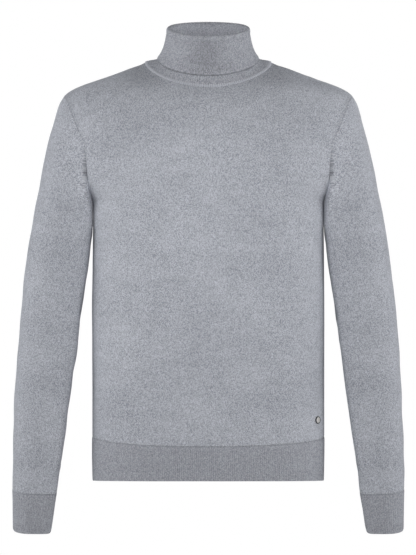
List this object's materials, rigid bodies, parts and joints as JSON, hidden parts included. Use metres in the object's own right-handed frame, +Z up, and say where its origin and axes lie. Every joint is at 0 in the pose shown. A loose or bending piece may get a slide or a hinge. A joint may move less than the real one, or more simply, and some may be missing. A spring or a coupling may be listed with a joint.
{
  "type": "turtleneck sweater",
  "caption": "Long-sleeved roll-neck sweater of fine melange jersey, with a folded rib collar, ribbed hem and cuffs and a small metal tag, hollow and filled out with no wearer.",
  "frame": {"origin": "the wearer's neck base: middle of the shoulder line, level with the points where the shoulder seams meet the collar", "axes": "+Z up, +X to the wearer's left, -Y to the front"},
  "size_m": [0.619, 0.2355, 0.8098],
  "materials": {
    "jersey": "plain fine-gauge wool jersey, blue-grey melange, matt with a soft bloom",
    "rib": "fine wool rib, darker blue-grey melange, matt",
    "tag_metal": "dark gunmetal plate with a raised rim, plain"
  },
  "bodies": {
    "root": {"front": "jersey", "back": "jersey", "sleeve_left": "jersey", "sleeve_right": "jersey", "hem_rib_front": "rib", "hem_rib_back": "rib", "cuff_left": "rib", "cuff_right": "rib", "collar": "rib", "hem_tag": "tag_metal"}
  },
  "joints": []
}
